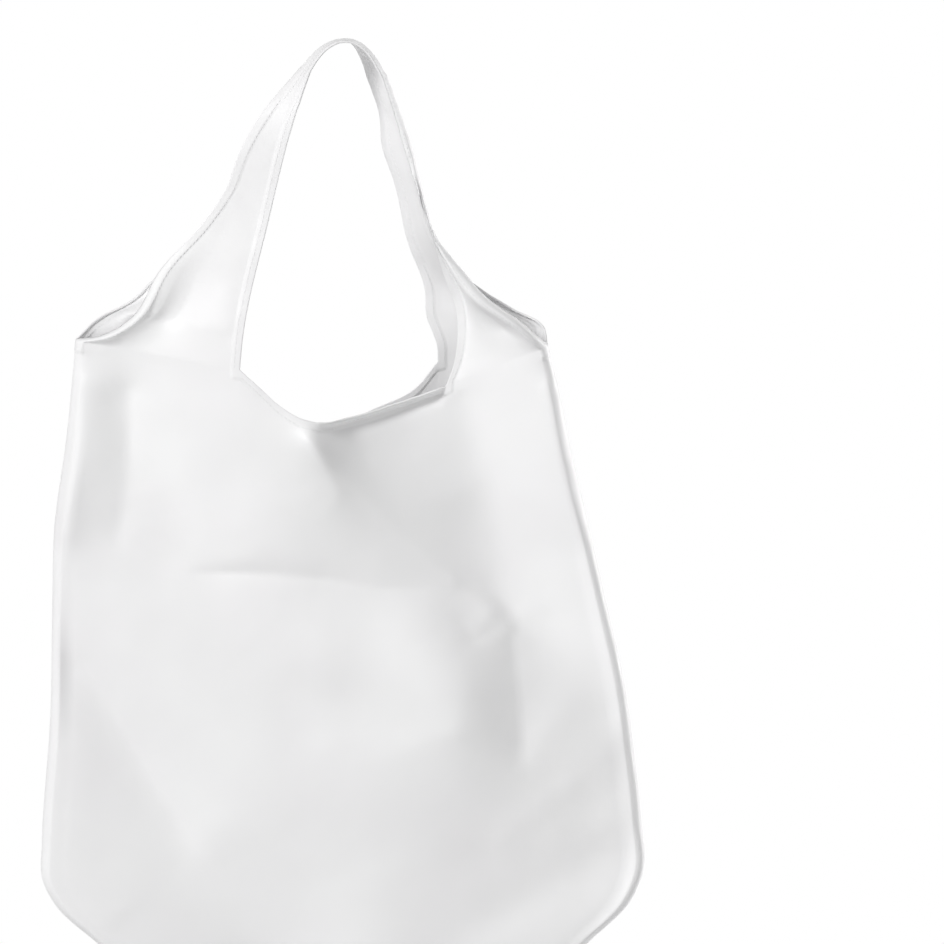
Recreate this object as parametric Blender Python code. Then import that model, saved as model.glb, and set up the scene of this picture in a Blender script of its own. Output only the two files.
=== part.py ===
"""A plastic carrier bag, hanging from the middle of its handle.

The bag is one piece of thin cloth-like plastic. A front and a back panel are joined down both sides, under the
bottom with its boxed corners, and along the top of the handle. Each panel is a ring round its handle opening.
Between the shoulders and the top of the handle the two panels part, which leaves an armhole on each side.

Units are metres, +Z is up, -Y is the front, and the origin is under the middle of the handle's arch.
"""

import math

import bmesh
import bpy
import numpy as np

FRONT = -1
BACK = 1
LEFT = -1
RIGHT = 1

# Cloth and hems
WALL = 0.0012
HEM_WALL = 0.0022
HEM_WIDTH = 0.006
HEM_STEP = 0.0015
WIDEST_HEM_SHARE = 0.3
WIDEST_STEP_SHARE = 0.08
CLOTH_COLOUR = (0.86, 0.86, 0.87, 1.0)
CLOTH_ROUGHNESS = 0.55

# Heights below the origin, and of the arch above it
ARCH_RISE = 0.0036
LEFT_JOIN_DROP = 0.014
RIGHT_JOIN_DROP = 0.019
LEFT_SHOULDER_DROP = 0.185
RIGHT_SHOULDER_DROP = 0.188
FRONT_LEFT_NECK_DROP = 0.201
FRONT_RIGHT_NECK_DROP = 0.215
BACK_LEFT_NECK_DROP = 0.205
BACK_RIGHT_NECK_DROP = 0.202
LEFT_CORNER_DROP = 0.526
RIGHT_CORNER_DROP = 0.524
BAG_DROP = 0.606

# Reaches to the left and to the right of the origin
LEFT_JOIN_REACH = 0.028
RIGHT_JOIN_REACH = 0.025
LEFT_SHOULDER_REACH = 0.170
RIGHT_SHOULDER_REACH = 0.126
FRONT_LEFT_NECK_REACH = 0.066
FRONT_RIGHT_NECK_REACH = 0.062
BACK_LEFT_NECK_REACH = 0.065
BACK_RIGHT_NECK_REACH = 0.057
INNER_FOOT_REACH = 0.050

# How far the boxed corners reach past the shoulders, and the width that each corner's cut takes from the bottom
LEFT_CORNER_SPREAD = 0.024
RIGHT_CORNER_SPREAD = 0.061
LEFT_CORNER_CUT = 0.082
RIGHT_CORNER_CUT = 0.079
CORNER_SWELL = 0.004
CORNER_CUT_SHARES = (0.12, 0.5, 0.85)

# Depths of the puffed body, in front of the side seams and behind them
FRONT_TOP_DEPTH = 0.042
FRONT_BOTTOM_DEPTH = 0.050
BACK_TOP_DEPTH = 0.036
BACK_BOTTOM_DEPTH = 0.046
BOTTOM_ROUNDING = 0.055
BOTTOM_BOXINESS = 2.8
SIDE_ROUNDNESS = 0.7

# The band over the top of the handle: half of it lies in front of its middle line and half behind
ARCH_ROUNDNESS = 2.2
ARCH_POINTS = 11
BAND_HALF_WIDTH = 0.018
BAND_DROOP = 0.0015
LEFT_BAND_TURN = 0.006
FRONT_RIGHT_BAND_TURN = 0.002
BACK_RIGHT_BAND_TURN = 0.012

# Bows of the edges from the straight line between their ends: (share of the way, to the right, to the rear)
FRONT_LEFT_OUTER_BOW = (
    (0.02, 0.015, -0.020), (0.09, 0.024, -0.026), (0.26, 0.017, -0.022), (0.43, 0.019, -0.018),
    (0.57, 0.015, -0.016), (0.68, 0.006, -0.015), (0.85, -0.001, -0.010),
)
BACK_LEFT_OUTER_BOW = (
    (0.07, 0.004, 0.016), (0.13, 0.015, 0.022), (0.21, 0.018, 0.022), (0.39, 0.024, 0.018),
    (0.54, 0.020, 0.016), (0.68, 0.009, 0.014), (0.85, 0.001, 0.009),
)
FRONT_RIGHT_OUTER_BOW = (
    (0.02, -0.002, -0.005), (0.09, -0.008, -0.014), (0.18, -0.020, -0.018), (0.28, -0.025, -0.015),
    (0.41, -0.029, -0.011), (0.57, -0.021, -0.008), (0.72, -0.012, -0.006), (0.90, -0.004, -0.003),
)
BACK_RIGHT_OUTER_BOW = (
    (0.06, 0.004, 0.005), (0.12, -0.008, 0.014), (0.18, -0.019, 0.016), (0.27, -0.029, 0.012),
    (0.36, -0.032, 0.010), (0.52, -0.025, 0.008), (0.71, -0.014, 0.006), (0.90, -0.005, 0.003),
)
FRONT_LEFT_INNER_BOW = ((0.12, -0.003, 0.0), (0.50, -0.004, 0.0), (0.83, -0.003, 0.0))
BACK_LEFT_INNER_BOW = ((0.14, -0.001, 0.0), (0.50, -0.002, 0.0), (0.83, -0.002, 0.0))
FRONT_RIGHT_INNER_BOW = (
    (0.05, 0.006, -0.001), (0.14, 0.013, -0.003), (0.23, 0.016, -0.005), (0.36, 0.013, -0.006),
    (0.50, 0.010, -0.007), (0.75, 0.005, -0.006), (0.92, 0.002, -0.002),
)
BACK_RIGHT_INNER_BOW = (
    (0.05, 0.002, 0.0), (0.17, 0.0, 0.003), (0.25, 0.003, 0.005), (0.42, 0.0, 0.006),
    (0.63, 0.001, 0.005), (0.77, -0.001, 0.004), (0.86, 0.002, 0.002),
)
LEFT_SEAM_BOW = (
    (0.18, -0.002, 0.0), (0.35, -0.006, 0.0), (0.50, -0.004, 0.0), (0.69, -0.001, 0.0), (0.95, -0.001, 0.0),
)
RIGHT_SEAM_BOW = (
    (0.08, 0.002, 0.0), (0.20, 0.003, 0.0), (0.37, 0.006, 0.0), (0.50, 0.008, 0.0), (0.63, 0.010, 0.0),
    (0.78, 0.008, 0.0), (0.90, 0.005, 0.0),
)

# Sags of the necklines under the straight line between their corners: (share of the way, down)
FRONT_NECK_SAG = ((0.10, 0.010), (0.20, 0.020), (0.30, 0.026), (0.42, 0.027), (0.55, 0.023), (0.80, 0.011))
BACK_NECK_SAG = ((0.11, 0.017), (0.24, 0.029), (0.39, 0.037), (0.55, 0.035), (0.68, 0.029), (0.89, 0.016))

# Folds of a panel: points as (to the right, up), height out of the panel (valleys are negative) and half-width
FRONT_FOLDS = (
    (((-0.146, -0.205), (-0.150, -0.260), (-0.153, -0.325)), -0.009, 0.018),
    (((-0.120, -0.215), (-0.118, -0.270), (-0.100, -0.335)), 0.005, 0.020),
    (((-0.092, -0.336), (-0.045, -0.326), (0.020, -0.334), (0.064, -0.347)), -0.006, 0.018),
    (((-0.018, -0.252), (-0.002, -0.285), (0.045, -0.320), (0.085, -0.350)), -0.011, 0.026),
    (((0.068, -0.350), (0.088, -0.362)), 0.006, 0.014),
    (((0.098, -0.375), (0.092, -0.410), (0.090, -0.450)), -0.010, 0.018),
    (((0.130, -0.400), (0.112, -0.447)), 0.005, 0.016),
    (((0.178, -0.452), (0.134, -0.482), (0.090, -0.505)), -0.007, 0.016),
    (((-0.165, -0.400), (-0.140, -0.440), (-0.098, -0.510)), 0.007, 0.024),
    (((-0.180, -0.425), (-0.150, -0.490), (-0.115, -0.540)), -0.007, 0.020),
)
BACK_FOLDS = (
    (((-0.110, -0.230), (-0.060, -0.330), (0.010, -0.400)), -0.008, 0.024),
    (((0.095, -0.235), (0.080, -0.320), (0.020, -0.420)), -0.007, 0.022),
    (((-0.150, -0.440), (-0.060, -0.490), (0.030, -0.500)), -0.006, 0.024),
)
FOLD_FADE = 0.035

# Rows and columns of cells, and points on a smooth curve between two given ones
CURVE_STEPS = 10
STRIP_COLUMNS = 8
NECK_COLUMNS = 9
FLAT_ROWS = 20
ROUNDED_ROWS = 4
LEG_ROWS = 16
ARCH_ROWS = 8
SPREAD_ROWS = 4
SHOULDER_ROWS = 7
WELD_DISTANCE = 0.00002
SMOOTHING_PASSES = 2
SMOOTHING = 0.5

DEPTHS = {FRONT: (FRONT_TOP_DEPTH, FRONT_BOTTOM_DEPTH), BACK: (BACK_TOP_DEPTH, BACK_BOTTOM_DEPTH)}
NECK_SAGS = {FRONT: FRONT_NECK_SAG, BACK: BACK_NECK_SAG}
FOLDS = {FRONT: FRONT_FOLDS, BACK: BACK_FOLDS}
RIGHT_BAND_TURNS = {FRONT: FRONT_RIGHT_BAND_TURN, BACK: BACK_RIGHT_BAND_TURN}
OUTER_BOWS = {
    (FRONT, LEFT): FRONT_LEFT_OUTER_BOW, (FRONT, RIGHT): FRONT_RIGHT_OUTER_BOW,
    (BACK, LEFT): BACK_LEFT_OUTER_BOW, (BACK, RIGHT): BACK_RIGHT_OUTER_BOW,
}
INNER_BOWS = {
    (FRONT, LEFT): FRONT_LEFT_INNER_BOW, (FRONT, RIGHT): FRONT_RIGHT_INNER_BOW,
    (BACK, LEFT): BACK_LEFT_INNER_BOW, (BACK, RIGHT): BACK_RIGHT_INNER_BOW,
}
NECK_CORNERS = {
    (FRONT, LEFT): (-FRONT_LEFT_NECK_REACH, -FRONT_LEFT_NECK_DROP),
    (FRONT, RIGHT): (FRONT_RIGHT_NECK_REACH, -FRONT_RIGHT_NECK_DROP),
    (BACK, LEFT): (-BACK_LEFT_NECK_REACH, -BACK_LEFT_NECK_DROP),
    (BACK, RIGHT): (BACK_RIGHT_NECK_REACH, -BACK_RIGHT_NECK_DROP),
}
SHOULDER_TIPS = {
    LEFT: np.array((-LEFT_SHOULDER_REACH, 0.0, -LEFT_SHOULDER_DROP)),
    RIGHT: np.array((RIGHT_SHOULDER_REACH, 0.0, -RIGHT_SHOULDER_DROP)),
}
LEFT_CORNER_REACH = LEFT_SHOULDER_REACH + LEFT_CORNER_SPREAD
RIGHT_CORNER_REACH = RIGHT_SHOULDER_REACH + RIGHT_CORNER_SPREAD
BOXED_CORNERS = {
    LEFT: np.array((-LEFT_CORNER_REACH, 0.0, -LEFT_CORNER_DROP)),
    RIGHT: np.array((RIGHT_CORNER_REACH, 0.0, -RIGHT_CORNER_DROP)),
}
FEET = {
    LEFT: np.array((LEFT_CORNER_CUT - LEFT_CORNER_REACH, 0.0, -BAG_DROP)),
    RIGHT: np.array((RIGHT_CORNER_REACH - RIGHT_CORNER_CUT, 0.0, -BAG_DROP)),
}
SEAM_BOWS = {LEFT: LEFT_SEAM_BOW, RIGHT: RIGHT_SEAM_BOW}


def between(start, end, share):
    """The point a share of the way from start to end."""
    return start + (end - start) * share


def bowed(start, end, bow):
    """Points of an edge that bows sideways and in depth between its ends."""
    middle = [between(start, end, share) + np.array((right, rear, 0.0)) for share, right, rear in bow]
    return [start, *middle, end]


def sagging(start, end, sag):
    """Points of a neckline that hangs under the straight line between its corners."""
    middle = [between(start, end, share) - np.array((0.0, 0.0, down)) for share, down in sag]
    return [start, *middle, end]


def smooth_edge(points, shares):
    """Points at shares of the length of a smooth curve through the given points."""
    points = np.array(points)
    spans = np.linalg.norm(np.diff(points, axis=0), axis=1)
    slopes = np.diff(points, axis=0) / spans[:, None]
    tangents = [slopes[0]]
    for before, after, slope_in, slope_out in zip(spans, spans[1:], slopes, slopes[1:]):
        tangents.append((slope_in * after + slope_out * before) / (before + after))
    tangents.append(slopes[-1])
    fine = [points[0]]
    for i, span in enumerate(spans):
        for t in np.linspace(0.0, 1.0, CURVE_STEPS + 1)[1:]:
            start_part = points[i] * (2 * t**3 - 3 * t**2 + 1) + points[i + 1] * (3 * t**2 - 2 * t**3)
            turn_part = tangents[i] * (t**3 - 2 * t**2 + t) + tangents[i + 1] * (t**3 - t**2)
            fine.append(start_part + turn_part * span)
    fine = np.array(fine)
    lengths = np.concatenate([[0.0], np.cumsum(np.linalg.norm(np.diff(fine, axis=0), axis=1))])
    places = np.asarray(shares) * lengths[-1]
    return np.stack([np.interp(places, lengths, fine[:, axis]) for axis in range(3)], axis=1)


def lens(share):
    """Depth of the puffed body across its width: 0 at the side seams and 1 half-way."""
    return (4.0 * np.clip(share * (1.0 - share), 0.0, 1.0)) ** SIDE_ROUNDNESS


def panel_height():
    """Height of the front panel under the left corner of its neckline, from which the rows are spaced."""
    return BAG_DROP - FRONT_LEFT_NECK_DROP


def row_shares():
    """Shares of the body's height at each row: the hem, the flat of the panel and the rounded bottom."""
    hem = np.array([0.0, HEM_WIDTH, HEM_WIDTH + HEM_STEP]) / panel_height()
    flat_end = 1.0 - BOTTOM_ROUNDING / panel_height()
    flat = np.linspace(hem[-1], flat_end, FLAT_ROWS + 1)[1:]
    turns = np.linspace(0.0, math.pi / 2, ROUNDED_ROWS + 1)[1:]
    rounded = flat_end + (1.0 - flat_end) * np.sin(turns)
    return np.concatenate([hem, flat, rounded])


def body_depth(side, down, across):
    """How far a body point lies behind the side seams, at shares of the height and of the width."""
    top, bottom = DEPTHS[side]
    rounding = BOTTOM_ROUNDING / panel_height()
    under = np.clip((down - 1.0 + rounding) / rounding, 0.0, 1.0)
    closing = (1.0 - under**BOTTOM_BOXINESS) ** (1.0 / BOTTOM_BOXINESS)
    return side * between(top, bottom, down) * lens(across) * closing


def column_shares(width, spread=0.0):
    """Shares across a strip: a hem and its step on each side. They spread evenly as spread goes to 1."""
    hem = min(HEM_WIDTH / width, WIDEST_HEM_SHARE)
    step = min(HEM_STEP / width, WIDEST_STEP_SHARE)
    inner = np.linspace(hem + step, 1.0 - hem - step, STRIP_COLUMNS - 3)
    hemmed = np.array([0.0, hem, *inner, 1.0 - hem, 1.0])
    return between(hemmed, np.linspace(0.0, 1.0, STRIP_COLUMNS + 1), spread)


def neck_corner(side, hand):
    """The corner between the neckline and a leg of the handle, on the puffed body's surface."""
    x, z = NECK_CORNERS[side, hand]
    across = (x + LEFT_SHOULDER_REACH) / (LEFT_SHOULDER_REACH + RIGHT_SHOULDER_REACH)
    return np.array((x, body_depth(side, 0.0, across), z))


def side_seam(hand):
    """Points down a side seam, round the boxed corner and along its cut to the bottom."""
    corner = BOXED_CORNERS[hand]
    swell = np.array((hand * CORNER_SWELL, 0.0, -CORNER_SWELL))
    cut = [between(corner, FEET[hand], share) + swell for share in CORNER_CUT_SHARES]
    return [*bowed(SHOULDER_TIPS[hand], corner, SEAM_BOWS[hand]), *cut, FEET[hand]]


def arch_line():
    """The middle line of the band over the top of the handle, from its left end to its right end."""
    points = []
    for x in np.linspace(-LEFT_JOIN_REACH, RIGHT_JOIN_REACH, ARCH_POINTS):
        reach, drop = (LEFT_JOIN_REACH, LEFT_JOIN_DROP) if x < 0 else (RIGHT_JOIN_REACH, RIGHT_JOIN_DROP)
        z = ARCH_RISE - (ARCH_RISE + drop) * abs(x / reach) ** ARCH_ROUNDNESS
        points.append(np.array((x, 0.0, z)))
    return points


def band_edge(side):
    """The free edge of one half of the band over the handle."""
    line = arch_line()
    points = []
    for point, share in zip(line, np.linspace(0.0, 1.0, len(line))):
        turn = LEFT_BAND_TURN * (1.0 - share) ** 2 - RIGHT_BAND_TURNS[side] * share**2
        points.append(point + np.array((turn, side * BAND_HALF_WIDTH, -BAND_DROOP)))
    return points


def fold_height(folds, x, z):
    """How far the folds push a point out of its panel."""
    place = np.array((x, z))
    height = 0.0
    for points, rise, half_width in folds:
        line = np.array(points)
        gaps = []
        for start, run in zip(line, np.diff(line, axis=0)):
            share = np.clip(np.dot(place - start, run) / np.dot(run, run), 0.0, 1.0)
            gaps.append(np.linalg.norm(start + run * share - place))
        height += rise * math.exp(-((min(gaps) / half_width) ** 2))
    return height


def body_grids(side):
    """The left, middle and right blocks of a panel under the neckline, as rows of points from the top down."""
    shares = row_shares()
    left_seam = smooth_edge(side_seam(LEFT), shares)
    right_seam = smooth_edge(side_seam(RIGHT), shares)
    columns = np.linspace(0.0, 1.0, NECK_COLUMNS + 1)
    corners = [neck_corner(side, hand) for hand in (LEFT, RIGHT)]
    neckline = smooth_edge(sagging(*corners, NECK_SAGS[side]), columns)
    foot_x = between(-INNER_FOOT_REACH, INNER_FOOT_REACH, columns)
    foot_line = np.stack([foot_x, np.zeros_like(foot_x), np.full_like(foot_x, -BAG_DROP)], axis=1)
    middle = np.array([between(neckline, foot_line, share) for share in shares])
    left = []
    right = []
    for row in range(len(shares)):
        spread = np.clip((row - 2) / SPREAD_ROWS, 0.0, 1.0)
        for block, seam, inner in ((left, left_seam, middle[:, 0]), (right, right_seam, middle[:, -1])):
            width = np.linalg.norm(inner[row] - seam[row])
            block.append([between(seam[row], inner[row], share) for share in column_shares(width, spread)])
    blocks = [np.array(left), middle, np.array(right)]
    for block in blocks:
        for row, down in enumerate(shares):
            reach = right_seam[row][0] - left_seam[row][0]
            for point in block[row]:
                across = np.clip((point[0] - left_seam[row][0]) / reach, 0.0, 1.0)
                depth = body_depth(side, down, across)
                to_edge = min(across, 1.0 - across) * reach
                fade = min(to_edge, down * panel_height(), (1.0 - down) * panel_height()) / FOLD_FADE
                point[1] = depth + side * fold_height(FOLDS[side], point[0], point[2]) * min(fade, 1.0)
    return blocks


def strip_between(outer, inner):
    """Rows of points across a strip of cloth, from its outer edge to its inner edge."""
    rows = []
    for start, end in zip(outer, inner):
        width = np.linalg.norm(end - start)
        rows.append([between(start, end, share) for share in column_shares(width)])
    return np.array(rows)


def leg_grid(side, hand, neck_row):
    """A leg of the handle, as rows from the shoulder up. Its foot takes on the body's curve."""
    arch_end = 0 if hand == LEFT else -1
    shares = np.linspace(0.0, 1.0, LEG_ROWS + 1)
    outer_points = bowed(SHOULDER_TIPS[hand], arch_line()[arch_end], OUTER_BOWS[side, hand])
    inner_points = bowed(neck_corner(side, hand), band_edge(side)[arch_end], INNER_BOWS[side, hand])
    outer = smooth_edge(outer_points, shares)
    inner = smooth_edge(inner_points, shares)
    grid = strip_between(outer, inner)
    curve = neck_row - grid[0]
    for row in range(SHOULDER_ROWS):
        grid[row] += curve * (1.0 - row / SHOULDER_ROWS) ** 2
    return grid


def arch_grid(side):
    shares = np.linspace(0.0, 1.0, ARCH_ROWS + 1)
    return strip_between(smooth_edge(arch_line(), shares), smooth_edge(band_edge(side), shares))


def hem_marks(grid, place):
    """Marks the points of a grid on a hem, which runs along its top, its sides or only its top corners."""
    marks = np.zeros(grid.shape[:2], bool)
    if place == "top":
        marks[:2] = True
    if place == "sides":
        marks[:, :2] = True
        marks[:, -2:] = True
    if place == "corners":
        marks[:2, :2] = True
        marks[:2, -2:] = True
    return marks


def panel_grids(side):
    """Every grid of a panel with the marks of its hems."""
    left, middle, right = body_grids(side)
    grids = [
        (left, "corners"),
        (middle, "top"),
        (right, "corners"),
        (leg_grid(side, LEFT, left[0]), "sides"),
        (leg_grid(side, RIGHT, right[0]), "sides"),
        (arch_grid(side), "sides"),
    ]
    return [(grid, hem_marks(grid, place)) for grid, place in grids]


def add_grid(cloth, weights, grid, marks):
    """Adds a grid's cells to the cloth, with the share of the hem's wall at each point."""
    rows, columns = grid.shape[:2]
    points = [[cloth.verts.new(grid[row, column]) for column in range(columns)] for row in range(rows)]
    for row in range(rows):
        for column in range(columns):
            points[row][column][weights][0] = 1.0 if marks[row, column] else WALL / HEM_WALL
    for row in range(rows - 1):
        for column in range(columns - 1):
            upper = points[row][column:column + 2]
            lower = points[row + 1][column:column + 2]
            cloth.faces.new((upper[0], upper[1], lower[1], lower[0]))


def soften(cloth):
    """Evens out the cloth away from its edges and seams."""
    seam_or_edge = {vert for vert in cloth.verts if abs(vert.co.y) < WELD_DISTANCE or vert.is_boundary}
    near_hem = {other for vert in seam_or_edge for edge in vert.link_edges for other in edge.verts}
    inner = [vert for vert in cloth.verts if vert not in near_hem]
    for _ in range(SMOOTHING_PASSES):
        bmesh.ops.smooth_vert(cloth, verts=inner, factor=SMOOTHING, use_axis_x=True, use_axis_y=True, use_axis_z=True)


def cloth_material():
    material = bpy.data.materials.new("white_cloth")
    material.use_nodes = True
    shader = material.node_tree.nodes["Principled BSDF"]
    shader.inputs["Base Color"].default_value = CLOTH_COLOUR
    shader.inputs["Roughness"].default_value = CLOTH_ROUGHNESS
    shader.inputs["Metallic"].default_value = 0.0
    return material


def make_bag():
    cloth = bmesh.new()
    weights = cloth.verts.layers.deform.verify()
    for side in (FRONT, BACK):
        for grid, marks in panel_grids(side):
            add_grid(cloth, weights, grid, marks)
    bmesh.ops.remove_doubles(cloth, verts=cloth.verts, dist=WELD_DISTANCE)
    soften(cloth)
    bmesh.ops.recalc_face_normals(cloth, faces=cloth.faces)
    mesh = bpy.data.meshes.new("bag")
    cloth.to_mesh(mesh)
    cloth.free()
    mesh.shade_smooth()
    bag = bpy.data.objects.new("bag", mesh)
    bag.vertex_groups.new(name="wall")
    mesh.materials.append(cloth_material())
    bpy.context.scene.collection.objects.link(bag)
    wall = bag.modifiers.new("wall", "SOLIDIFY")
    wall.thickness = HEM_WALL
    wall.offset = 0.0
    wall.vertex_group = "wall"
    return bag


def main():
    for leftover in list(bpy.data.objects):
        bpy.data.objects.remove(leftover)
    make_bag()


main()
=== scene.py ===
"""The looks of a plastic carrier bag, hanging from the middle of its handle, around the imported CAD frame."""
import math

import bmesh
import bpy
import numpy as np
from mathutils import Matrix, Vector, kdtree, noise
from mathutils.bvhtree import BVHTree


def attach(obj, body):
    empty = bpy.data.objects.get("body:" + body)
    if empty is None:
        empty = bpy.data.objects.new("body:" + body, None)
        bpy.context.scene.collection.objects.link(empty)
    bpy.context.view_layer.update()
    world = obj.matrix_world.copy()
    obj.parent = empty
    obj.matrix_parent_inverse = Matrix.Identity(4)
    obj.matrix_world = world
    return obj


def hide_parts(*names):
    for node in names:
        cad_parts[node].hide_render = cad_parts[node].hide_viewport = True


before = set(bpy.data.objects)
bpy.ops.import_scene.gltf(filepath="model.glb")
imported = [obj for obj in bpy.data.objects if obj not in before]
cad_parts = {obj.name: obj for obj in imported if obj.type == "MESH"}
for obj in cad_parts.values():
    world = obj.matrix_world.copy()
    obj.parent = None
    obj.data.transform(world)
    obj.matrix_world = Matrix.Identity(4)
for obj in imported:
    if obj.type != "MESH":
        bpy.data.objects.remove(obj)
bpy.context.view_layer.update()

FRONT = -1
BACK = 1
LEFT = -1
RIGHT = 1
MM = 0.001
TINY = 1e-6
FAR = 1e9

# Cloth and hems
WALL = 0.0004
HEM_WALL = 0.0012
HEM_PLACES = (0.0007, 0.0022, 0.0040, 0.0055, 0.0062, 0.0074)
HEMMED = 4
WIDEST_HEM_SHARE = 0.42

# Heights below the origin, and of the arch above it
ARCH_RISE = 0.0040
JOIN_DROPS = {LEFT: 0.014, RIGHT: 0.019}
PANEL_HEIGHT = 0.405
BAG_DROP = 0.606

# Corners of the outline
JOIN_REACHES = {LEFT: 0.028, RIGHT: 0.025}
SHOULDER_TIPS = {LEFT: np.array((-0.170, 0.0, -0.185)), RIGHT: np.array((0.126, 0.0, -0.188))}
NECK_CORNERS = {
    (FRONT, LEFT): (-0.066, -0.201), (FRONT, RIGHT): (0.062, -0.215),
    (BACK, LEFT): (-0.071, -0.209), (BACK, RIGHT): (0.057, -0.202),
}
BOXED_CORNERS = {LEFT: np.array((-0.194, 0.0, -0.526)), RIGHT: np.array((0.187, 0.0, -0.524))}
FEET = {LEFT: np.array((-0.112, 0.0, -0.606)), RIGHT: np.array((0.108, 0.0, -0.606))}
INNER_FOOT_REACH = 0.050
CORNER_SWELL = 0.004
CORNER_CUT_SHARES = (0.12, 0.5, 0.85)

# Depths of the puffed body at its top and at its bottom
DEPTHS = {FRONT: (0.042, 0.050), BACK: (0.036, 0.046)}
BOTTOM_ROUNDING = 0.055
BOTTOM_BOXINESS = 2.8
SIDE_ROUNDNESSES = {FRONT: 0.4, BACK: 0.6}

# The band over the top of the handle
ARCH_ROUNDNESS = 2.2
ARCH_POINTS = 11
BAND_HALF_WIDTH = 0.018
BAND_DROOP = 0.0015
LEFT_BAND_TURN = 0.006
RIGHT_BAND_TURNS = {FRONT: 0.002, BACK: 0.012}

# Bows of the edges from the straight line between their ends: (share of the way, to the right, to the rear)
OUTER_BOWS = {
    (FRONT, LEFT): (
        (0.02, 0.015, -0.008), (0.09, 0.024, -0.013), (0.26, 0.017, -0.016), (0.43, 0.019, -0.016),
        (0.57, 0.015, -0.016), (0.68, 0.006, -0.015), (0.85, -0.001, -0.010),
    ),
    (BACK, LEFT): (
        (0.07, 0.004, 0.024), (0.13, 0.015, 0.030), (0.21, 0.018, 0.029), (0.39, 0.024, 0.021),
        (0.54, 0.020, 0.016), (0.68, 0.009, 0.014), (0.85, 0.001, 0.009),
    ),
    (FRONT, RIGHT): (
        (0.02, -0.002, -0.005), (0.09, -0.008, -0.014), (0.18, -0.020, -0.018), (0.28, -0.025, -0.015),
        (0.41, -0.029, -0.011), (0.57, -0.021, -0.008), (0.72, -0.012, -0.006), (0.90, -0.004, -0.003),
    ),
    (BACK, RIGHT): (
        (0.06, 0.004, 0.005), (0.12, -0.008, 0.014), (0.18, -0.019, 0.016), (0.27, -0.029, 0.012),
        (0.36, -0.032, 0.010), (0.52, -0.025, 0.008), (0.71, -0.014, 0.006), (0.90, -0.005, 0.003),
    ),
}
INNER_BOWS = {
    (FRONT, LEFT): ((0.12, -0.003, 0.004), (0.50, -0.004, 0.007), (0.83, -0.003, 0.004)),
    (BACK, LEFT): ((0.14, -0.003, 0.0), (0.50, -0.005, 0.0), (0.83, -0.005, 0.0)),
    (FRONT, RIGHT): (
        (0.05, 0.006, 0.004), (0.14, 0.013, 0.009), (0.23, 0.016, 0.012), (0.36, 0.013, 0.013),
        (0.50, 0.010, 0.011), (0.75, 0.005, 0.004), (0.92, 0.002, 0.0),
    ),
    (BACK, RIGHT): (
        (0.05, 0.002, 0.0), (0.17, 0.0, 0.003), (0.25, 0.003, 0.005), (0.42, 0.0, 0.006),
        (0.63, 0.001, 0.005), (0.77, -0.001, 0.004), (0.86, 0.002, 0.002),
    ),
}
SEAM_BOWS = {
    LEFT: (
        (0.18, -0.002, 0.0), (0.35, -0.006, 0.0), (0.50, -0.004, 0.0), (0.69, -0.001, 0.0),
        (0.95, -0.001, 0.0),
    ),
    RIGHT: (
        (0.08, 0.002, 0.0), (0.20, 0.003, 0.0), (0.37, 0.006, 0.0), (0.50, 0.008, 0.0), (0.63, 0.010, 0.0),
        (0.78, 0.008, 0.0), (0.90, 0.005, 0.0),
    ),
}
NECK_SAGS = {
    FRONT: ((0.10, 0.010), (0.20, 0.020), (0.30, 0.026), (0.42, 0.027), (0.55, 0.023), (0.80, 0.011)),
    BACK: ((0.11, 0.020), (0.24, 0.033), (0.39, 0.039), (0.55, 0.035), (0.68, 0.028), (0.89, 0.016)),
}

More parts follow.
